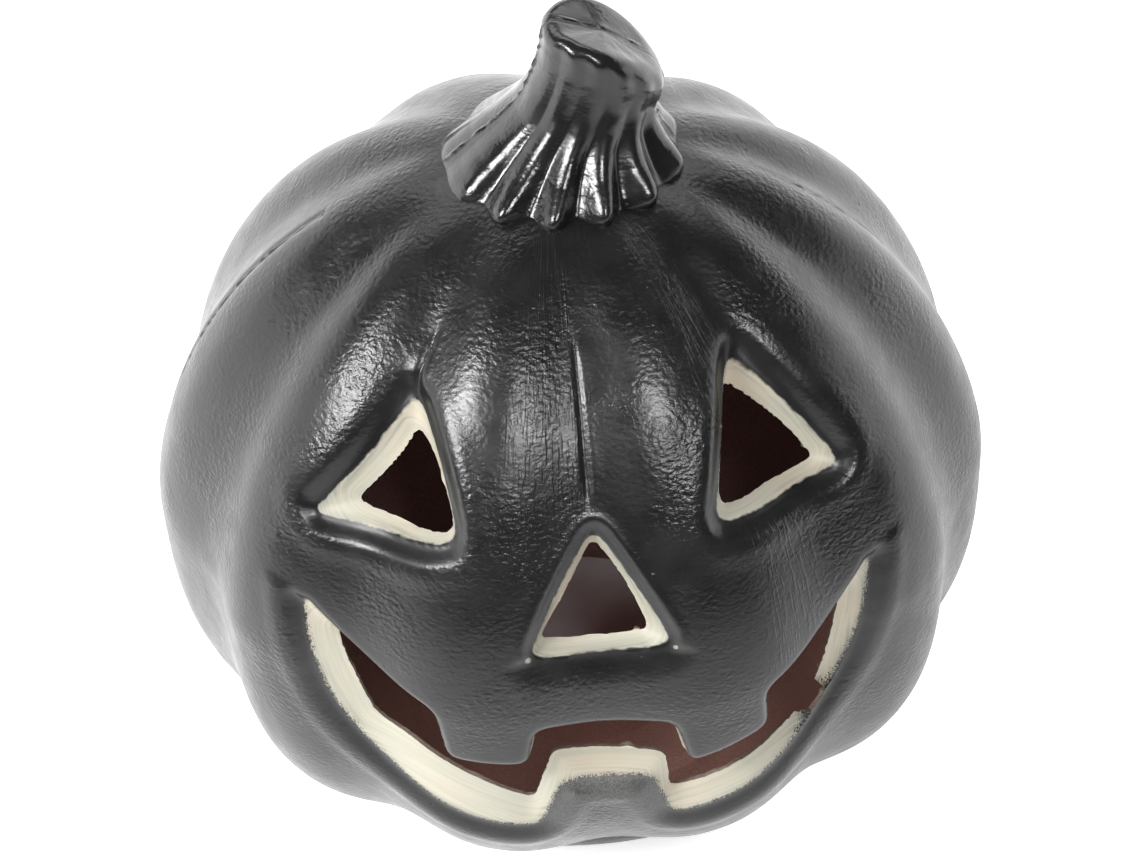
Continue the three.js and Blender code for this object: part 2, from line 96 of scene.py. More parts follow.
MOUTH = {
    "cream": [*UPPER_LIP, *LOWER_LIP],
    "hole": [
        (-56, 91.5, -2), (-37.5, 80, 0), (-35.5, 66.5, 0), (-15.5, 66, 0), (-13.5, 75.5, 0), (13.5, 74.5, 0),
        (16.5, 62, 0), (36.5, 67, 0), (36, 78.5, -2), (54.5, 90, 1), (48.5, 60.5, 0.5), (13, 49, 0),
        (12, 62, 0), (-10.5, 66, 0), (-15.5, 49.5, -1.5), (-50.5, 66, 1),
    ],
}
CREAM_ROUNDING = 3
HOLE_ROUNDING = 2.4
EYE_POCKET = {
    "slope_width": 4.0, "slope_depth": 2.0, "depth": 4.8,
    "lip": 0.4, "lip_at": 5.2, "lip_width": 2.6,
}
NOSE_POCKET = {
    "slope_width": 3.2, "slope_depth": 1.2, "depth": 4.2,
    "lip": 0.3, "lip_at": 3.0, "lip_width": 1.0,
}
MOUTH_POCKET = {
    "slope_width": 4.2, "slope_depth": 2.0, "depth": 5.4,
    "lip": 0.5, "lip_at": 5.8, "lip_width": 2.2,
}
NO_SOFT_EDGE = -1  # height under which a pocket's rim fades out; -1 is nowhere
POCKETS = [
    {**EYE_LEFT, **EYE_POCKET, "soft_under": NO_SOFT_EDGE},
    {**EYE_RIGHT, **EYE_POCKET, "soft_under": NO_SOFT_EDGE},
    {**NOSE, **NOSE_POCKET, "soft_under": 97},
    {**MOUTH, **MOUTH_POCKET, "soft_under": NO_SOFT_EDGE},
]
PAINT_DABS = [(14.3, 46.6, 0.9), (-15.0, 95.6, 0.7), (15.4, 95.6, 0.5), (11.8, 111.2, 0.35)]  # x, z, radius
EDGE_NIBS = [(4.4, 63.3, 1.1), (7.2, 98.0, 0.6), (-31.6, 128.0, 0.5), (47.4, 120.8, 0.4)]  # x, z, height
FACE_EDGE = 200.0  # stands for "far from the face"

# Stem: height, middle x, half width, how deep the ribs are
STEM_SECTIONS = [
    (156.5, 1.6, 25.4, 0.05), (158.6, 1.7, 25.8, 0.06), (160.4, 2.0, 25.2, 0.075), (163.0, 2.8, 23.4, 0.10),
    (166.0, 3.8, 20.9, 0.105), (170.0, 5.4, 17.6, 0.09), (174.0, 7.5, 15.2, 0.055), (179.0, 9.3, 13.6, 0.04),
    (184.0, 10.7, 12.9, 0.035), (188.0, 11.4, 12.7, 0.03), (190.0, 11.6, 12.5, 0.02),
]
STEM_RIBS = [-62, -33, -8, 15, 40, 70, 104, 140, 178, 216, 256]  # degrees from the face towards +X
STEM_DEPTH_RATIO = 0.97
CAP = {"height": 187.2, "fall": 0.55, "bend": 0.02, "middle_x": 12.0, "rounding": 3.6}


# Small helpers


def smoothstep(value, low, high):
    share = np.clip((value - low) / (high - low), 0, 1)
    return share * share * (3 - 2 * share)


def bell(value, middle, width):
    return np.exp(-(((value - middle) / width) ** 2))


def wobble(position, step, seed):
    """Smooth random values between -1 and 1 along a line, one knot every step."""
    knots = np.random.default_rng(seed).uniform(-1, 1, 4096)
    place = np.asarray(position) / step + 1000
    first = np.floor(place).astype(int)
    share = place - first
    share = share * share * (3 - 2 * share)
    return knots[first % 4096] * (1 - share) + knots[(first + 1) % 4096] * share


def resample(points, spacing):
    """Points along a line of (r, z), as far apart as spacing(r, z) says."""
    points = np.asarray(points, float)
    lengths = np.hypot(*np.diff(points, axis=0).T)
    along = np.concatenate([[0], np.cumsum(lengths)])
    stops = [0.0]
    while stops[-1] < along[-1]:
        here = [np.interp(stops[-1], along, points[:, k]) for k in (0, 1)]
        stops.append(stops[-1] + spacing(*here))
    stops = np.array(stops) * along[-1] / stops[-1]
    return np.stack([np.interp(stops, along, points[:, k]) for k in (0, 1)], 1)


def curve(start, bend, end, steps=24, trim=0.0):
    """A smooth bend from start to end, pulled towards bend, with a share of each end left off."""
    share = np.linspace(trim, 1 - trim, steps)[:, None]
    start, bend, end = (np.array(p, float) for p in (start, bend, end))
    return (1 - share) ** 2 * start + 2 * share * (1 - share) * bend + share**2 * end


def drawn(corners, rounding):
    """A closed outline through corners of (x, z, bow), each corner turned as a curve."""
    places = np.array([corner[:2] for corner in corners], float)
    followers = np.roll(places, -1, axis=0)
    sides = []
    for place, follower, corner in zip(places, followers, corners):
        run = follower - place
        length = np.linalg.norm(run)
        left = np.array([-run[1], run[0]]) / length
        bend = (place + follower) / 2 + 2 * corner[2] * left
        sides.append(curve(place, bend, follower, 16, min(rounding / length, 0.45)))
    outline = []
    for side, follower, next_side in zip(sides, followers, sides[1:] + sides[:1]):
        outline.extend(side)
        outline.extend(curve(side[-1], follower, next_side[0], 6)[1:-1])
    return np.array(outline)


def signed_distance(x, z, outline):
    """Distance to a closed outline, below zero inside it."""
    nearest = np.full(x.shape, np.inf)
    inside = np.zeros(x.shape, bool)
    for (ax, az), (bx, bz) in zip(outline, np.roll(outline, -1, axis=0)):
        run = np.array([bx - ax, bz - az])
        length = run @ run
        if length < 1e-12:
            continue
        share = np.clip(((x - ax) * run[0] + (z - az) * run[1]) / length, 0, 1)
        nearest = np.minimum(nearest, (x - ax - share * run[0]) ** 2 + (z - az - share * run[1]) ** 2)
        crosses = ((az > z) != (bz > z)) & (x < run[0] * (z - az) / (bz - az + 1e-12) + ax)
        inside ^= crosses
    return np.where(inside, -1, 1) * np.sqrt(nearest)


def make_mesh(name, points, faces, materials, face_material=None, attributes=None, sharp_degrees=40):
    """A smooth-shaded object from points in millimetres."""
    mesh = bpy.data.meshes.new(name)
    mesh.from_pydata((np.asarray(points) * MM).tolist(), [], faces)
    for material in materials:
        mesh.materials.append(material)
    if face_material is not None:
        mesh.polygons.foreach_set("material_index", np.asarray(face_material, np.int32))
    for key, values in (attributes or {}).items():
        layer = mesh.attributes.new(key, "FLOAT", "POINT")
        layer.data.foreach_set("value", np.asarray(values, np.float32))
    mesh.shade_smooth()
    mesh.set_sharp_from_angle(angle=math.radians(sharp_degrees))
    mesh.update()
    piece = bpy.data.objects.new(name, mesh)
    bpy.context.scene.collection.objects.link(piece)
    return piece


def point_normals(points, faces):
    """Area-weighted normals of a mesh of triangles and quads."""
    normals = np.zeros_like(points)
    for sides in (3, 4):
        ring = np.array([f for f in faces if len(f) == sides])
        if len(ring) == 0:
            continue
        across = points[ring[:, -2]] - points[ring[:, 0]]
        other = points[ring[:, -1]] - points[ring[:, 1 if sides == 4 else 0]]
        face_normals = np.cross(across, other)
        for k in range(sides):
            np.add.at(normals, ring[:, k], face_normals)
    return normals / np.maximum(np.linalg.norm(normals, axis=1, keepdims=True), 1e-12)


# Pumpkin body


def valley(degrees):
    """0 on the crest of a lobe, 1 in the groove between two lobes."""
    lobe = np.clip(np.searchsorted(GROOVES, degrees, side="right") - 1, 0, len(GROOVES) - 2)
    low = np.take(GROOVES, lobe)
    high = np.take(GROOVES, lobe + 1)
    return np.abs(np.cos(np.pi * (degrees - low) / (high - low))) ** GROOVE_POWER


def body_outline():
    """The skin from its top, round the foot and up the neck in the base, as rows of (r, z)."""
    latitude = np.radians(np.linspace(90, -50, 400))
    sine = np.sin(latitude)
    rise = np.where(
        sine > 0, CROWN_RISE * np.abs(sine) ** CROWN_POWER, -WAIST_HEIGHT * np.abs(sine) ** BELLY_POWER
    )
    skin = np.stack([BODY_RADIUS * np.abs(np.cos(latitude)) ** ROUND_POWER, WAIST_HEIGHT + rise], 1)
    foot = curve(skin[-1], (56.5, 0), (RING_OUTER, 0))
    sill = curve((RING_INNER, 0), (RING_INNER - 3, 0), (RECESS_RADIUS + 3, RECESS_HEIGHT - 1), 8)
    shelf = curve(sill[-1], (RECESS_RADIUS + 1, RECESS_HEIGHT), (RECESS_RADIUS - 2, RECESS_HEIGHT), 8)
    neck_turn = curve((NECK_RADIUS + 1.2, RECESS_HEIGHT), (NECK_RADIUS, RECESS_HEIGHT), (NECK_RADIUS, 5.2), 6)
    whole = np.concatenate([skin, foot[1:], sill, shelf[1:], neck_turn, [(NECK_RADIUS, NECK_TOP)]])
    return resample(whole, lambda r, z: 0.62 if 36 < z < 150 and r > 40 else 1.3)


def body_columns():
    """Azimuths in degrees: close together over the face and at the parting line."""
    seam = np.array([-3.4, -2.4, -1.7, -1.2, -0.8, -0.5, -0.25, 0, 0.25, 0.5, 0.8, 1.2, 1.7, 2.4, 3.4])
    return np.concatenate(
        [
            np.arange(-180, -94, 1.2),
            -90 + seam,
            np.linspace(-85.8, -69, 15),
            np.arange(-68, 68, 0.38),
            np.linspace(68.8, 85.8, 15),
            90 + seam,
            np.arange(94.6, 179.4, 1.2),
        ]
    )


def body_skin():
    """The lobed skin before its face is pressed in: points, quads and each point's place."""
    outline = body_outline()
    columns = body_columns()
    r = outline[1:, 0][:, None]
    z = outline[1:, 1][:, None] + np.zeros(len(columns))
    degrees = columns[None, :] + np.zeros_like(r)
    on_belly = r > RING_OUTER
    below_waist = np.where(on_belly, smoothstep(z, 0.5, 22), 0)
    groove = smoothstep(r, 16, 56) * np.where(z > WAIST_HEIGHT, 1, below_waist)
    squeeze = np.where(z > WAIST_HEIGHT, 1, np.where(on_belly, smoothstep(z, 0, 20), 0))
    radius = r - GROOVE_DEPTH * groove * valley(degrees)
    brow = smoothstep(z, 122, 128) * (1 - smoothstep(z, 143, 150))
    radius = radius - 0.9 * brow * bell(degrees, 0, 0.75)
    ragged = 0.55 + 0.45 * wobble(z + 400 * (degrees > 0), 0.9, 5)
    side = np.radians(np.abs(degrees) - 90) * radius
    seam = 0.8 * ragged * bell(side, 0, 0.35) - 0.8 * bell(side, 0, 1.5)
    radius = radius + np.where(on_belly, seam, 0) * smoothstep(z, 3, 12)
    pinch = smoothstep(z, 138, 141) * (1 - smoothstep(z, 144, 149))
    radius = radius - 0.9 * pinch * bell(degrees, -33.8, 0.9)
    depth = 1 + (BODY_DEPTH_RATIO - 1) * squeeze
    angle = np.radians(degrees)
    x = radius * np.sin(angle)
    x = x * (1 - SIDE_FLATTENING * smoothstep(np.abs(x), 60, 94))
    grid = np.stack([x, -depth * radius * np.cos(angle), z], -1)
    rows, count = z.shape
    points = np.concatenate([[(0, 0, outline[0, 1])], grid.reshape(-1, 3)])
    index = 1 + np.arange(rows * count).reshape(rows, count)
    nxt = np.roll(index, -1, axis=1)
    faces = [(0, int(a), int(b)) for a, b in zip(index[0], nxt[0])]
    quads = np.stack([index[:-1], index[1:], nxt[1:], nxt[:-1]], -1).reshape(-1, 4)
    faces.extend(map(tuple, quads.tolist()))
    around = np.concatenate([[0], (angle * BODY_RADIUS).ravel()])
    return points, faces, around


def pocket_outlines(pocket):
    return drawn(pocket["cream"], CREAM_ROUNDING), drawn(pocket["hole"], HOLE_ROUNDING)


def hole_field(points):
    """Distance from each point to the nearest cut hole, below zero where the plastic is cut away."""
    x, y, z = points.T
    field = np.full(len(points), FACE_EDGE)
    face = (y < 0) & (np.abs(x) < 75) & (z > 30) & (z < 156)
    for pocket in POCKETS:
        _, hole = pocket_outlines(pocket)
        near = signed_distance(x[face], z[face], hole)
        field[face] = np.minimum(field[face], near)
    knife = 0.10 * wobble(x + 0.7 * z, 2.3, 11) + 0.05 * wobble(x - z, 0.9, 12)
    nibs = sum(h * bell(x, nx, 0.8) * bell(z, nz, 0.8) for nx, nz, h in EDGE_NIBS)
    return np.where(field < 6, field + knife + nibs, field)


def cut_away(points, faces, around, field):
    """Drops what lies inside the holes, cutting faces that cross an edge along it."""
    field = np.where(np.abs(field) < 0.12, 0, field)
    points, around = list(points), list(around)
    crossing = {}

    def meet(a, b):
        key = (min(a, b), max(a, b))
        if key not in crossing:
            share = field[key[0]] / (field[key[0]] - field[key[1]])
            crossing[key] = len(points)
            points.append(points[key[0]] * (1 - share) + points[key[1]] * share)
            around.append(around[key[0]] * (1 - share) + around[key[1]] * share)
        return crossing[key]

    kept = []
    for face in faces:
        values = [field[i] for i in face]
        if min(values) >= 0:
            kept.append(face)
            continue
        if max(values) <= 0:
            continue
        ring = []
        for k, a in enumerate(face):
            b = face[(k + 1) % len(face)]
            if field[a] >= 0:
                ring.append(a)
            if field[a] * field[b] < 0:
                ring.append(meet(a, b))
        kept.extend((ring[0], ring[k], ring[k + 1]) for k in range(1, len(ring) - 1))
    return np.array(points), kept, np.array(around)


def drop_unused(points, faces, *others):
    used = np.zeros(len(points), bool)
    for face in faces:
        used[list(face)] = True
    new_index = np.cumsum(used) - 1
    faces = [tuple(int(new_index[i]) for i in face) for face in faces]
    return points[used], faces, *[values[used] for values in others]


def face_relief(points):
    """How far each point is pressed in along its normal, and the values that the paint goes by."""
    x, y, z = points.T
    press = np.zeros(len(points))
    cream_edge = np.full(len(points), FACE_EDGE)
    hole_edge = np.full(len(points), FACE_EDGE)
    sprayed = np.zeros(len(points))
    mist = np.zeros(len(points))
    face = (y < 0) & (np.abs(x) < 90) & (z > 22) & (z < 158)
    px, pz = x[face], z[face]
    left_end = (*UPPER_LIP[0][:2], 0)
    around_chin = [left_end, (-70, 101, 0), (-70, 20, 0), (70, 20, 0), (70, 101, 0)]
    lower = drawn([*LOWER_LIP, *around_chin], CREAM_ROUNDING)
    for pocket in POCKETS:
        is_mouth = pocket["cream"] is MOUTH["cream"]
        cream, hole = pocket_outlines(pocket)
        to_cream = signed_distance(px, pz, cream)
        to_hole = np.maximum(signed_distance(px, pz, hole), 0)
        inward = np.maximum(-to_cream, 0)
        share = inward / (inward + to_hole + 1e-6)
        step = pocket["slope_depth"]
        under = smoothstep(pocket["soft_under"] - pz, 0, 3)
        slope = step * (1 - smoothstep(to_cream, 0, pocket["slope_width"] * (1 + 1.6 * under)))
        swell = bell(to_cream, pocket["lip_at"], pocket["lip_width"]) * (to_cream > 0)
        lip = pocket["lip"] * (1 - under) * swell
        if is_mouth:
            below = smoothstep(-signed_distance(px, pz, lower), -1.5, 1.5)
            curl = 1.3 * (1 - np.clip(to_cream / 2.2, 0, 1)) ** 2
            slope = slope * below + curl * (1 - below)
            lip = lip * below
            mist[face] = (1 - smoothstep(to_cream, 1.0, 8.0)) * bell(px, -0.5, 10.5) * (pz < 60) * below
        inside = to_cream <= 0
        depth = np.where(inside, slope + (pocket["depth"] - step) * share**0.8, slope) - lip
        press[face] += depth
        nearer = to_cream < cream_edge[face]
        cream_edge[face] = np.where(nearer, to_cream, cream_edge[face])
        hole_edge[face] = np.minimum(hole_edge[face], to_hole)
        if is_mouth:
            sprayed[face] = np.where(nearer, 1, sprayed[face])
    for dab_x, dab_z, radius in PAINT_DABS:
        cream_edge[face] = np.minimum(cream_edge[face], np.hypot(px - dab_x, pz - dab_z) - radius)
    return press, {"cream_edge": cream_edge, "hole_edge": hole_edge, "sprayed": sprayed, "mist": mist}


def give_thickness(points, faces, wall):
    """Adds an inner sheet one wall in, and cut faces along every open edge."""
    inner = points - wall * point_normals(points, faces)
    count = len(points)
    edges = {}
    for face in faces:
        for k, a in enumerate(face):
            b = face[(k + 1) % len(face)]
            if (b, a) in edges:
                del edges[(b, a)]
            else:
                edges[(a, b)] = True
    inner_faces = [tuple(count + i for i in reversed(face)) for face in faces]
    cut_faces = [(b, a, count + a, count + b) for a, b in edges]
    kinds = np.repeat([0, 1, 2], [len(faces), len(inner_faces), len(cut_faces)])
    return np.concatenate([points, inner]), faces + inner_faces + cut_faces, kinds


def pumpkin_body(materials):
    points, faces, around = body_skin()
    points, faces, around = cut_away(points, faces, around, hole_field(points))
    points, faces, around = drop_unused(points, faces, around)
    normals = point_normals(points, faces)
    press, paint = face_relief(points)
    paint["around"] = around
    paint["along"] = points[:, 2].copy()
    skin = points - normals * press[:, None]
    solid, faces, kinds = give_thickness(skin, faces, WALL)
    paint = {key: np.concatenate([values, values]) for key, values in paint.items()}
    return make_mesh("pumpkin_body", solid, faces, materials, kinds, paint)


# Stem


def stem_ribs(degrees):
    """0 on a rib, 1 in the sharp valley between two ribs."""
    ribs = np.array([*STEM_RIBS, STEM_RIBS[0] + 360])
    turn = (degrees - ribs[0]) % 360 + ribs[0]
    rib = np.clip(np.searchsorted(ribs, turn, side="right") - 1, 0, len(ribs) - 2)
    share = (turn - ribs[rib]) / (ribs[rib + 1] - ribs[rib])
    return 1 - (np.abs(np.cos(np.pi * share)) + 1e-4) ** 1.5


def stem_rows(rows):
    """Smooth rows through the stem's sections: height, middle x, half width and rib depth of each."""
    sections = np.array(STEM_SECTIONS)
    height = np.linspace(sections[0, 0], sections[-1, 0], rows)
    place = np.interp(height, sections[:, 0], np.arange(len(sections)))
    low = np.clip(place.astype(int), 0, len(sections) - 2)
    share = (place - low)[:, None]
    before = sections[np.maximum(low - 1, 0)]
    here, after = sections[low], sections[low + 1]
    beyond = sections[np.minimum(low + 2, len(sections) - 1)]
    bend = (
        2 * here
        + (after - before) * share
        + (2 * before - 5 * here + 4 * after - beyond) * share**2
        + (3 * here - before - 3 * after + beyond) * share**3
    )
    return height, bend[:, 1] / 2, bend[:, 2] / 2, bend[:, 3] / 2


def pumpkin_stem(material):
    rows, columns = 120, 360
    height, middle, half_width, ribs = (values[:, None] for values in stem_rows(rows))
    degrees = np.arange(columns)[None, :] * 360 / columns - 105 + np.zeros_like(height)
    angle = np.radians(degrees)
    bold = 0.3 + 0.7 * smoothstep(degrees, -70, -45) * (1 - 0.6 * smoothstep(degrees, 55, 90))
    groove = stem_ribs(degrees) * (bold + 0.2 * wobble(degrees, 21, 4))
    on_rib = (1 - stem_ribs(degrees)) * bold
    uneven = 0.22 * wobble(height, 3.1, 9) * wobble(degrees, 17, 10)
    radius = half_width * (1 - ribs * groove) + uneven
    radius = radius + on_rib**2 * (0.3 * bell(height, 189.8, 1.5) + 2.4 * bell(height, 161.6, 3.4))
    ragged = 0.5 + 0.5 * wobble(height + 300 * (degrees > 0), 0.8, 7)
    radius = radius + 0.6 * ragged * bell(np.abs(degrees), 90, 1.1)
    x = middle + radius * np.sin(angle)
    y = -STEM_DEPTH_RATIO * radius * np.cos(angle)
    off = x - CAP["middle_x"]
    top = CAP["height"] - CAP["fall"] * off - CAP["bend"] * off**2
    z = height + smoothstep(height, 168, 190) * (top - 190)
    side = np.stack([x, y, z], -1)
    centre = side[-1].mean(0)
    lift = CAP["rounding"]
    rings = []
    reach = np.linalg.norm((side[-1] - centre)[:, :2], axis=1)[:, None]
    for turn in np.linspace(0, math.pi / 2, 10)[1:]:
        evened = 1 + (reach.mean() / reach - 1) * math.sin(turn)
        ring = centre + (side[-1] - centre) * (1 - (1 - math.cos(turn)) * lift / half_width[-1, 0]) * evened
        ring[:, 2] += lift * math.sin(turn)
        rings.append(ring)
    shoulder = rings[-1]
    crown = shoulder.mean(0) + (0, 0, 0.4)
    for share in np.linspace(0, 1, 14)[1:-1]:
        ring = shoulder * (1 - share) + crown * share
        seam = bell(ring[:, 1], 1.5, 0.5) * (0.5 + 0.5 * wobble(ring[:, 0], 0.9, 8))
        ring[:, 2] += 0.35 * seam + 0.2 * wobble(ring[:, 0], 5.0, 6) * wobble(ring[:, 1], 5.0, 7)
        rings.append(ring)
    grid = np.concatenate([side, np.array(rings)])
    points = np.concatenate([grid.reshape(-1, 3), [crown], [side[0].mean(0)]])
    index = np.arange(grid.shape[0] * columns).reshape(grid.shape[0], columns)
    nxt = np.roll(index, -1, axis=1)
    quads = np.stack([index[:-1], nxt[:-1], nxt[1:], index[1:]], -1).reshape(-1, 4)
    faces = [tuple(q) for q in quads.tolist()]
    top_point, foot_point = len(points) - 2, len(points) - 1
    faces.extend((int(a), int(b), top_point) for a, b in zip(index[-1], nxt[-1]))
    faces.extend((int(b), int(a), foot_point) for a, b in zip(index[0], nxt[0]))
    return make_mesh("pumpkin_stem", points, faces, [material])


# Materials


class Nodes:
    """A short way to add nodes to one tree."""

    def __init__(self, tree):
        self.tree = tree

    def add(self, kind, inputs=None, **settings):
        node = self.tree.nodes.new(kind)
        for key, value in settings.items():
            setattr(node, key, value)
        for key, value in (inputs or {}).items():
            if isinstance(value, bpy.types.NodeSocket):
                self.tree.links.new(value, node.inputs[key])
            else:
                node.inputs[key].default_value = value
        return node

    def maths(self, operation, *values, clamp=False):
        inputs = dict(enumerate(values))
        return self.add("ShaderNodeMath", inputs, operation=operation, use_clamp=clamp).outputs[0]

    def scaled(self, vector, scale):
        node = self.add("ShaderNodeVectorMath", {0: vector, 1: scale}, operation="MULTIPLY")
        return node.outputs[0]

    def noise(self, vector, scale, detail=2.0, roughness=0.5):
        inputs = {"Vector": vector, "Scale": scale, "Detail": detail, "Roughness": roughness}
        return self.add("ShaderNodeTexNoise", inputs).outputs[0]

    def attribute(self, name):
        return self.add("ShaderNodeAttribute", attribute_name=name).outputs["Fac"]

    def ramp(self, value, low, high, to_low=0.0, to_high=1.0):
        inputs = {"Value": value, 1: low, 2: high, 3: to_low, 4: to_high}
        return self.add("ShaderNodeMapRange", inputs, interpolation_type="SMOOTHSTEP").outputs[0]

    def mix(self, share, first, second):
        inputs = {0: share, 6: first, 7: second}
        return self.add("ShaderNodeMix", inputs, data_type="RGBA").outputs[2]

    def place(self):
        return self.add("ShaderNodeTexCoord").outputs["Object"]

    def group(self, tree, **inputs):
        node = self.tree.nodes.new("ShaderNodeGroup")
        node.node_tree = tree
        for key, value in inputs.items():
            socket = node.inputs[key.replace("_", " ")]
            if isinstance(value, bpy.types.NodeSocket):
                self.tree.links.new(value, socket)
            else:
                socket.default_value = value
        return node

    def bump(self, height, distance, strength=1.0, normal=None):
        inputs = {"Height": height, "Distance": distance, "Strength": strength}
        if normal is not None:
            inputs["Normal"] = normal
        return self.add("ShaderNodeBump", inputs).outputs[0]


def new_group(name, inputs, outputs):
    """An empty node group with float, colour or vector sockets, and its first and last nodes."""
    tree = bpy.data.node_groups.new(name, "ShaderNodeTree")
    kinds = {"float": "NodeSocketFloat", "colour": "NodeSocketColor", "vector": "NodeSocketVector"}
    for socket, (kind, value) in inputs.items():
        made = tree.interface.new_socket(socket, in_out="INPUT", socket_type=kinds[kind])
        if value is not None:
            made.default_value = value
    for socket, kind in outputs.items():
        tree.interface.new_socket(socket, in_out="OUTPUT", socket_type=kinds[kind])
    start = tree.nodes.new("NodeGroupInput")
    end = tree.nodes.new("NodeGroupOutput")
    return tree, Nodes(tree), start, end


def orange_peel_group():
    """The uneven skin of blown plastic: Height of its small pimples, and where the skin is smooth."""
    tree, nodes, start, end = new_group(
        "orange_peel",
        {"Grain": ("float", 1.0), "Calm": ("float", 0.45)},
        {"Height": "float", "Mask": "float"},
    )
    place = nodes.place()
    bent = nodes.add("ShaderNodeVectorMath", {0: place, 1: (1.0, 1.0, 1.5)}, operation="MULTIPLY").outputs[0]
    pimples = nodes.noise(bent, nodes.maths("MULTIPLY", start.outputs["Grain"], 900.0), 2.0, 0.5)
    dents = nodes.add(
        "ShaderNodeTexVoronoi",
        {"Vector": bent, "Scale": nodes.maths("MULTIPLY", start.outputs["Grain"], 700.0)},
        feature="SMOOTH_F1",
    ).outputs["Distance"]
    patches = nodes.ramp(nodes.noise(place, 42.0, 2.0), start.outputs["Calm"], 0.64, 0.32, 1.0)
    height = nodes.maths("ADD", nodes.maths("MULTIPLY", pimples, 0.75), nodes.maths("MULTIPLY", dents, 0.35))
    tree.links.new(nodes.maths("MULTIPLY", height, patches), end.inputs["Height"])
    tree.links.new(patches, end.inputs["Mask"])
    return tree


def die_lines_group():
    """Fine lines down the skin, left by the die that the plastic came through."""
    tree, nodes, start, end = new_group(
        "die_lines", {"Around": ("float", 0.0), "Along": ("float", 0.0)}, {"Height": "float"}
    )
    around, along = start.outputs["Around"], start.outputs["Along"]
    across = nodes.add("ShaderNodeCombineXYZ", {0: around, 1: along}).outputs[0]
    stretched = nodes.scaled(across, (1.1, 0.16, 1.0))
    lines = nodes.ramp(nodes.noise(stretched, 1.0, 1.0, 0.5), 0.5, 0.64)
    wide = nodes.scaled(across, (0.3, 0.02, 1.0))
    chosen = nodes.ramp(nodes.noise(wide, 1.0, 1.0), 0.52, 0.66)
    forehead = nodes.maths("MULTIPLY", nodes.ramp(around, -26.0, -16.0), nodes.ramp(around, 2.0, -3.0))
    cheek = nodes.maths("MULTIPLY", nodes.ramp(around, 34.0, 40.0), nodes.ramp(around, 58.0, 52.0))
    where = nodes.maths("ADD", nodes.maths("ADD", forehead, cheek), nodes.maths("MULTIPLY", chosen, 0.2))
    tree.links.new(nodes.maths("MULTIPLY", lines, where), end.inputs["Height"])
    return tree


def scuff_group():
    """Light dust, rubs and specks: a Mask of where they are."""
    tree, nodes, start, end = new_group("scuffs", {"Amount": ("float", 0.5)}, {"Mask": "float"})
    place = nodes.place()
    smears = nodes.ramp(nodes.noise(place, 90.0, 5.0, 0.7), 0.66, 0.8)
    specks = nodes.ramp(
        nodes.add("ShaderNodeTexVoronoi", {"Vector": place, "Scale": 170.0}).outputs["Distance"], 0.045, 0.02
    )
    rare = nodes.ramp(nodes.noise(place, 60.0, 1.0), 0.6, 0.64)
    faint_smears = nodes.maths("MULTIPLY", smears, 0.35)
    rare_specks = nodes.maths("MULTIPLY", specks, rare)
    both = nodes.maths("ADD", faint_smears, rare_specks, clamp=True)
    tree.links.new(nodes.maths("MULTIPLY", both, start.outputs["Amount"]), end.inputs["Mask"])
    return tree


def brushed_cream_group():
    """Hand-brushed cream paint: its Color with streaks along the ledge and painted shade towards its outer
    edge, and Height of the brush marks.
    """
    tree, nodes, start, end = new_group(
        "brushed_cream",
        {"Hole": ("float", 0.0), "Edge": ("float", 0.0)},
        {"Color": "colour", "Height": "float"},
    )
    place = nodes.place()
    streak_place = nodes.add(
        "ShaderNodeCombineXYZ", {0: nodes.maths("MULTIPLY", start.outputs["Hole"], 1.9), 1: 0.0}
    ).outputs[0]
    drift = nodes.scaled(place, (70.0, 70.0, 70.0))
    streak_place = nodes.add("ShaderNodeVectorMath", {0: streak_place, 1: drift}, operation="ADD").outputs[0]
    streaks = nodes.noise(streak_place, 1.0, 4.0, 0.6)
    warm = nodes.ramp(nodes.noise(place, 38.0, 2.0), 0.42, 0.68)
    base = nodes.mix(warm, (0.45, 0.43, 0.35, 1), (0.50, 0.43, 0.33, 1))
    worn = nodes.mix(nodes.ramp(streaks, 0.30, 0.62), (0.39, 0.38, 0.31, 1), base)
    # Painted shade: the cream is greyed towards its outer edge, broken up by the brush streaks.
    near_edge = nodes.ramp(start.outputs["Edge"], -1.8, 0.0)
    painted_edge_shade = nodes.maths("MULTIPLY", near_edge, nodes.ramp(streaks, 0.35, 0.6, 0.7, 0.2))
    tree.links.new(nodes.mix(painted_edge_shade, worn, (0.20, 0.20, 0.175, 1)), end.inputs["Color"])
    tree.links.new(streaks, end.inputs["Height"])
    return tree


def new_material(name, **constants):
    """A material with one Principled shader, its constant sockets set unlinked."""
    material = bpy.data.materials.new(name)
    material.use_nodes = True
    nodes = Nodes(material.node_tree)
    shader = material.node_tree.nodes["Principled BSDF"]
    for socket, value in constants.items():
        shader.inputs[socket.replace("_", " ")].default_value = value
    return material, nodes, shader


def link(material, output, shader, socket):
    material.node_tree.links.new(output, shader.inputs[socket])


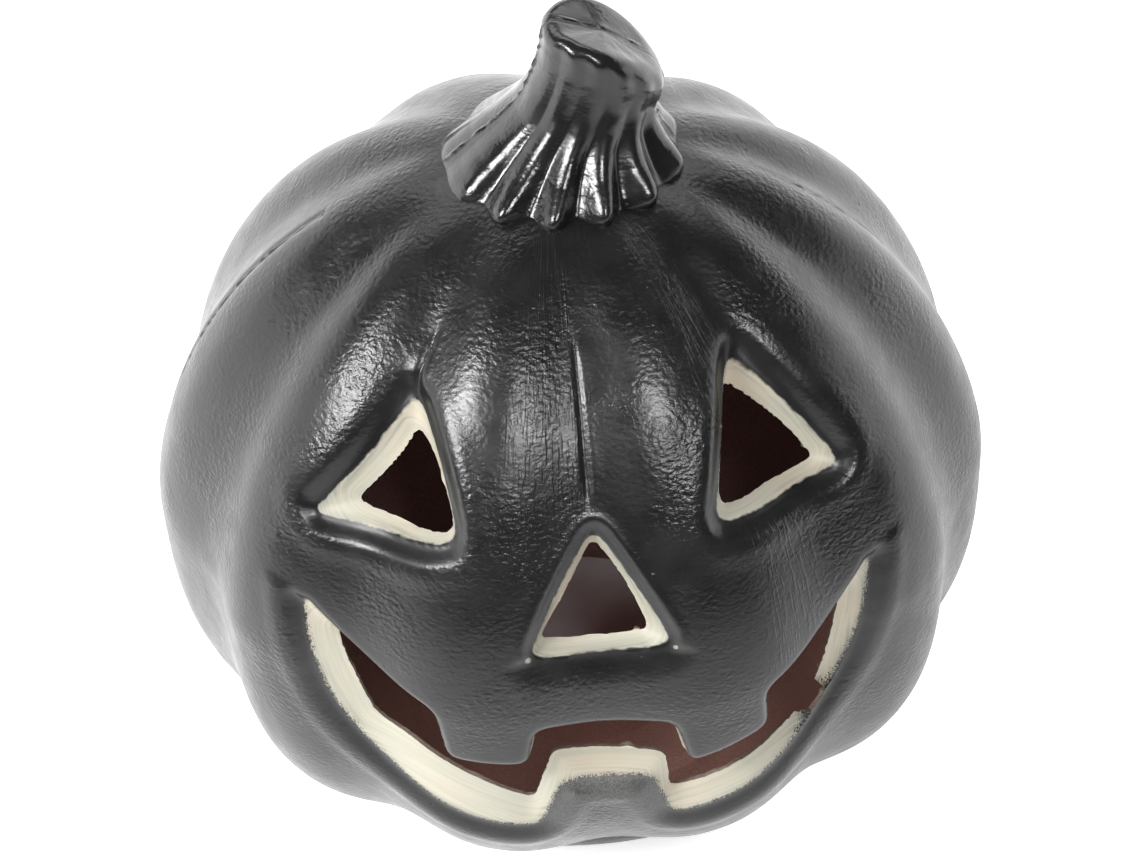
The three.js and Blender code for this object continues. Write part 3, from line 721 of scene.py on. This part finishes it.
def painted_skin(groups):
    """Satin black paint over the moulding, with cream brushed on the ledges of the face."""
    material, nodes, shader = new_material("painted_skin", Specular_IOR_Level=0.5)
    peel = nodes.group(groups["peel"], Grain=1.0, Calm=0.40)
    lines = nodes.group(groups["lines"], Around=nodes.attribute("around"), Along=nodes.attribute("along"))
    scuffs = nodes.group(groups["scuffs"], Amount=0.5)
    edge = nodes.attribute("cream_edge")
    cream = nodes.group(groups["cream"], Hole=nodes.attribute("hole_edge"), Edge=edge)
    place = nodes.place()
    mist = nodes.attribute("mist")
    fine = nodes.maths("SUBTRACT", nodes.noise(place, 2600.0, 3.0, 0.7), 0.5)
    slow = nodes.maths("SUBTRACT", nodes.noise(place, 420.0, 2.0), 0.5)
    reach = nodes.maths("MULTIPLY_ADD", mist, 6.0, nodes.maths("MULTIPLY", nodes.attribute("sprayed"), 3.4))
    ragged = nodes.maths("ADD", nodes.maths("MULTIPLY", slow, 0.9), nodes.maths("MULTIPLY", fine, reach))
    is_cream = nodes.ramp(nodes.maths("ADD", edge, ragged), 0.22, -0.22)
    cloud = nodes.ramp(nodes.noise(place, 70.0, 3.0), 0.35, 0.7)
    black = nodes.mix(cloud, (0.0065, 0.0065, 0.0067, 1), (0.0095, 0.0095, 0.0097, 1))
    misty = nodes.maths("MULTIPLY", mist, nodes.ramp(fine, -0.14, 0.2, 0.35, 1.0))
    dusted = nodes.mix(nodes.maths("MULTIPLY", misty, 0.5), black, (0.34, 0.34, 0.33, 1))
    dusty = nodes.mix(scuffs.outputs["Mask"], dusted, (0.16, 0.16, 0.155, 1))
    link(material, nodes.mix(is_cream, dusty, cream.outputs["Color"]), shader, "Base Color")
    satin = nodes.ramp(nodes.noise(place, 160.0, 3.0), 0.3, 0.7, 0.27, 0.35)
    rough = nodes.maths("ADD", satin, nodes.maths("MULTIPLY", nodes.maths("MAXIMUM", is_cream, mist), 0.2))
    link(material, rough, shader, "Roughness")
    line_height = nodes.maths("MULTIPLY", lines.outputs["Height"], 0.12)
    skin_height = nodes.maths("ADD", peel.outputs["Height"], line_height)
    away = nodes.ramp(edge, 0.5, 6.0, 0.12, 1.0)
    skin_bump = nodes.bump(nodes.maths("MULTIPLY", skin_height, away), 0.00033)
    brush_height = nodes.maths("MULTIPLY", cream.outputs["Height"], is_cream)
    brush_bump = nodes.bump(brush_height, 0.00012, 1.0, skin_bump)
    link(material, brush_bump, shader, "Normal")
    return material


def raw_inside():
    """Unpainted brown plastic inside the moulding, with a painted glow that stands in for light falling in
    through the face.
    """
    material, nodes, shader = new_material("raw_inside", Roughness=0.62, Emission_Strength=1.0)
    place = nodes.place()
    cloudy = nodes.ramp(nodes.noise(place, 30.0, 3.0), 0.35, 0.7)
    grain = nodes.noise(place, 1900.0, 3.0, 0.7)
    colour = nodes.mix(cloudy, (0.22, 0.11, 0.088, 1), (0.30, 0.16, 0.13, 1))
    colour = nodes.mix(nodes.ramp(grain, 0.35, 0.7, 0.0, 0.55), colour, (0.10, 0.06, 0.054, 1))
    link(material, colour, shader, "Base Color")
    # Painted glow: the emission stands in for light inside the pumpkin, brighter towards the front.
    depth = nodes.add("ShaderNodeSeparateXYZ", {0: place}).outputs[1]
    front_glow_share = nodes.ramp(depth, 0.035, -0.03)
    painted_glow = nodes.mix(front_glow_share, (0.004, 0.0028, 0.0027, 1), (0.040, 0.0205, 0.0165, 1))
    link(material, painted_glow, shader, "Emission Color")
    link(material, nodes.bump(grain, 0.0002), shader, "Normal")
    return material


def cut_edge():
    """The knife-cut edge of the wall, grey-brown with fine drag marks."""
    material, nodes, shader = new_material("cut_edge", Roughness=0.55)
    place = nodes.place()
    drag = nodes.noise(nodes.scaled(place, (1.0, 6.0, 1.0)), 700.0, 3.0)
    colour = nodes.mix(nodes.ramp(drag, 0.3, 0.7), (0.13, 0.10, 0.085, 1), (0.27, 0.22, 0.18, 1))
    link(material, colour, shader, "Base Color")
    link(material, nodes.bump(drag, 0.0001), shader, "Normal")
    return material


def gloss_stem(groups):
    """Glossy black paint, thick enough to run over the mould's texture."""
    material, nodes, shader = new_material("gloss_stem", Specular_IOR_Level=0.6)
    peel = nodes.group(groups["peel"], Grain=1.1, Calm=0.35)
    scuffs = nodes.group(groups["scuffs"], Amount=0.35)
    place = nodes.place()
    black = nodes.mix(nodes.noise(place, 90.0, 3.0), (0.007, 0.007, 0.0073, 1), (0.012, 0.012, 0.0124, 1))
    link(material, nodes.mix(scuffs.outputs["Mask"], black, (0.12, 0.12, 0.115, 1)), shader, "Base Color")
    link(material, nodes.ramp(nodes.noise(place, 210.0, 3.0), 0.3, 0.7, 0.17, 0.27), shader, "Roughness")
    link(material, nodes.bump(peel.outputs["Height"], 0.00014), shader, "Normal")
    return material


def moulded_plastic(name, dark, light, rough, grain=1500.0):
    """Plain moulded plastic with a fine spark-eroded texture."""
    material, nodes, shader = new_material(name)
    place = nodes.place()
    texture = nodes.noise(place, grain, 3.0, 0.6)
    cloud = nodes.ramp(nodes.noise(place, 120.0, 3.0), 0.3, 0.7)
    link(material, nodes.mix(cloud, dark, light), shader, "Base Color")
    link(material, nodes.ramp(texture, 0.3, 0.7, rough - 0.06, rough + 0.08), shader, "Roughness")
    link(material, nodes.bump(texture, 0.00006), shader, "Normal")
    return material


def plated_metal(name, colour, rough, stretch):
    """Plated sheet or wire: fine drawn lines, and slightly dulled patches."""
    material, nodes, shader = new_material(name, Metallic=1.0)
    place = nodes.place()
    drawn = nodes.noise(nodes.scaled(place, stretch), 1800.0, 3.0, 0.6)
    dulled = nodes.ramp(nodes.noise(place, 260.0, 4.0), 0.4, 0.75)
    tarnish = tuple(0.72 * c for c in colour[:3]) + (1,)
    link(material, nodes.mix(dulled, colour, tarnish), shader, "Base Color")
    link(material, nodes.ramp(drawn, 0.3, 0.7, rough - 0.06, rough + 0.1), shader, "Roughness")
    link(material, nodes.bump(drawn, 0.00003), shader, "Normal")
    return material


def board_green():
    """Green solder resist with paler copper tracks under it."""
    material, nodes, shader = new_material("board_green", Roughness=0.35)
    place = nodes.place()
    track_inputs = {"Vector": place, "Scale": 260.0, "Mortar Size": 0.09}
    tracks = nodes.add("ShaderNodeTexBrick", track_inputs).outputs["Fac"]
    weave = nodes.noise(place, 900.0, 2.0)
    resist = nodes.mix(weave, (0.012, 0.075, 0.028, 1), (0.02, 0.11, 0.04, 1))
    link(material, nodes.mix(tracks, resist, (0.05, 0.2, 0.07, 1)), shader, "Base Color")
    link(material, nodes.bump(tracks, 0.00004), shader, "Normal")
    return material


def amber_lens():
    """Amber epoxy lens of the lamp."""
    material, nodes, shader = new_material("amber_lens", Roughness=0.12, IOR=1.53, Transmission_Weight=0.6)
    place = nodes.place()
    cloud = nodes.noise(place, 500.0, 3.0)
    link(material, nodes.mix(cloud, (0.85, 0.36, 0.06, 1), (0.95, 0.50, 0.12, 1)), shader, "Base Color")
    return material


def banded_resistor():
    """Tan resistor body with painted bands."""
    material, nodes, shader = new_material("banded_resistor", Roughness=0.4)
    place = nodes.place()
    along = nodes.add("ShaderNodeSeparateXYZ", {0: place}).outputs[0]
    bands = nodes.maths("SINE", nodes.maths("MULTIPLY", along, 4200.0))
    is_band = nodes.ramp(bands, 0.55, 0.7)
    band_choice = nodes.noise(nodes.scaled(place, (1.0, 0.0, 0.0)), 700.0, 0.0)
    tint = nodes.mix(band_choice, (0.35, 0.03, 0.02, 1), (0.15, 0.08, 0.01, 1))
    link(material, nodes.mix(is_band, (0.55, 0.40, 0.22, 1), tint), shader, "Base Color")
    return material


def dress_light_unit():
    """Each CAD node of the light unit takes its own finish."""
    housing = moulded_plastic("housing_plastic", (0.58, 0.53, 0.54, 1), (0.66, 0.60, 0.61, 1), 0.42)
    switch = moulded_plastic("switch_plastic", (0.012, 0.012, 0.013, 1), (0.02, 0.02, 0.021, 1), 0.4)
    epoxy = moulded_plastic("black_epoxy", (0.006, 0.006, 0.006, 1), (0.012, 0.012, 0.012, 1), 0.25, 700.0)
    steel = plated_metal("cell_steel", (0.62, 0.62, 0.63, 1), 0.24, (0.3, 1.0, 1.0))
    contact = plated_metal("contact_metal", (0.58, 0.57, 0.54, 1), 0.3, (1.0, 1.0, 0.2))
    zinc = plated_metal("zinc_screw", (0.50, 0.50, 0.49, 1), 0.36, (1.0, 1.0, 0.4))
    tin = plated_metal("switch_steel", (0.60, 0.60, 0.60, 1), 0.32, (0.2, 1.0, 1.0))
    red = moulded_plastic("red_wire", (0.28, 0.012, 0.012, 1), (0.36, 0.02, 0.018, 1), 0.4, 2400.0)
    black = moulded_plastic("black_wire", (0.012, 0.012, 0.012, 1), (0.02, 0.02, 0.02, 1), 0.4, 2400.0)
    finishes = {
        "light_housing": housing,
        "light_cover": housing,
        "battery_door": housing,
        "contact_spring": contact,
        "contact_plate_negative": contact,
        "contact_plate_positive": contact,
        "led_board": board_green(),
        "led": amber_lens(),
        "flicker_chip": epoxy,
        "resistor": banded_resistor(),
        "wire_negative": black,
        "wire_positive": red,
        "switch_body": tin,
        "switch_slider": switch,
    }
    for number in (1, 2, 3):
        finishes[f"cover_screw_{number}"] = zinc
        finishes[f"button_cell_{number}"] = steel
    for node, material in finishes.items():
        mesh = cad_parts[node].data
        mesh.materials.clear()
        mesh.materials.append(material)


# Studio


def plain_colour(name, colour, rough):
    return new_material(name, Base_Color=colour, Roughness=rough)[0]


def studio_floor():
    size = 6000
    points = [(-size, -size, 0), (size, -size, 0), (size, size, 0), (-size, size, 0)]
    paper = plain_colour("floor_paper", (0.9, 0.9, 0.9, 1), 0.7)
    shader = paper.node_tree.nodes["Principled BSDF"]
    shader.inputs["Emission Strength"].default_value = 0.72
    nodes = Nodes(paper.node_tree)
    depth = nodes.add("ShaderNodeSeparateXYZ", {0: nodes.place()}).outputs[1]
    lit = nodes.mix(nodes.ramp(depth, -0.32, -0.08), (0.04, 0.04, 0.04, 1), (1, 1, 1, 1))
    link(paper, lit, shader, "Emission Color")
    floor = make_mesh("floor", points, [(0, 1, 2, 3)], [paper])
    wall_radius, wall_height, bends = 1000, 620, 40
    turns = np.radians(np.linspace(80, 280, bends + 1))
    low = [(wall_radius * math.sin(a), -wall_radius * math.cos(a), 1) for a in turns]
    high = [(x, y, wall_height) for x, y, _ in low]
    sides = [(i, i + 1, bends + 2 + i, bends + 1 + i) for i in range(bends)]
    make_mesh("paper_wall", low + high, sides, [paper])


def softbox(name, azimuth, elevation, distance, width, height, power):
    """A soft lamp that looks at the pumpkin from an azimuth round from the face towards +X."""
    data = bpy.data.lights.new(name, "AREA")
    data.shape = "RECTANGLE"
    data.size = width
    data.size_y = height
    data.energy = power
    lamp = bpy.data.objects.new(name, data)
    turn, lift = math.radians(azimuth), math.radians(elevation)
    target = Vector((0, 0, 0.09))
    direction = Vector((math.sin(turn) * math.cos(lift), -math.cos(turn) * math.cos(lift), math.sin(lift)))
    lamp.location = target + direction * distance
    lamp.rotation_euler = direction.to_track_quat("Z", "Y").to_euler()
    bpy.context.scene.collection.objects.link(lamp)


def studio_light():
    world = bpy.data.worlds.new("studio")
    world.use_nodes = True
    world.node_tree.nodes["Background"].inputs["Color"].default_value = (1.0, 1.0, 1.0, 1)
    world.node_tree.nodes["Background"].inputs["Strength"].default_value = 0.05
    bpy.context.scene.world = world
    softbox("softbox_left", -62, 41, 1.0, 0.38, 0.28, 12)
    softbox("softbox_right", 14, 47, 1.05, 0.32, 0.22, 6)
    softbox("softbox_back", 178, 50, 1.3, 1.4, 0.4, 5)
    bpy.context.scene.view_settings.view_transform = "Standard"


def camera():
    data = bpy.data.cameras.new("camera")
    data.lens = CAMERA_LENS
    data.sensor_width = 36
    data.shift_x, data.shift_y = CAMERA_SHIFT
    data.clip_start = 0.05
    eye = bpy.data.objects.new("camera", data)
    turn, lift, roll = (math.radians(a) for a in (CAMERA_AZIMUTH, CAMERA_ELEVATION, CAMERA_ROLL))
    away = Vector((math.sin(turn) * math.cos(lift), -math.cos(turn) * math.cos(lift), math.sin(lift)))
    level = Vector((math.cos(turn), math.sin(turn), 0))
    upright = away.cross(level)
    right = math.cos(roll) * level + math.sin(roll) * upright
    up = math.cos(roll) * upright - math.sin(roll) * level
    place = Vector((0, 0, CAMERA_TARGET_HEIGHT)) + CAMERA_DISTANCE * away
    facing = Matrix((right, up, away)).transposed()
    eye.matrix_world = Matrix.Translation(place * MM) @ facing.to_4x4()
    bpy.context.scene.collection.objects.link(eye)
    bpy.context.scene.camera = eye


camera()
groups = {
    "peel": orange_peel_group(),
    "lines": die_lines_group(),
    "scuffs": scuff_group(),
    "cream": brushed_cream_group(),
}
body = pumpkin_body([painted_skin(groups), raw_inside(), cut_edge()])
stem = pumpkin_stem(gloss_stem(groups))
for piece in (body, stem):
    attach(piece, "pumpkin")
    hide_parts("shell")
dress_light_unit()
studio_floor()
studio_light()
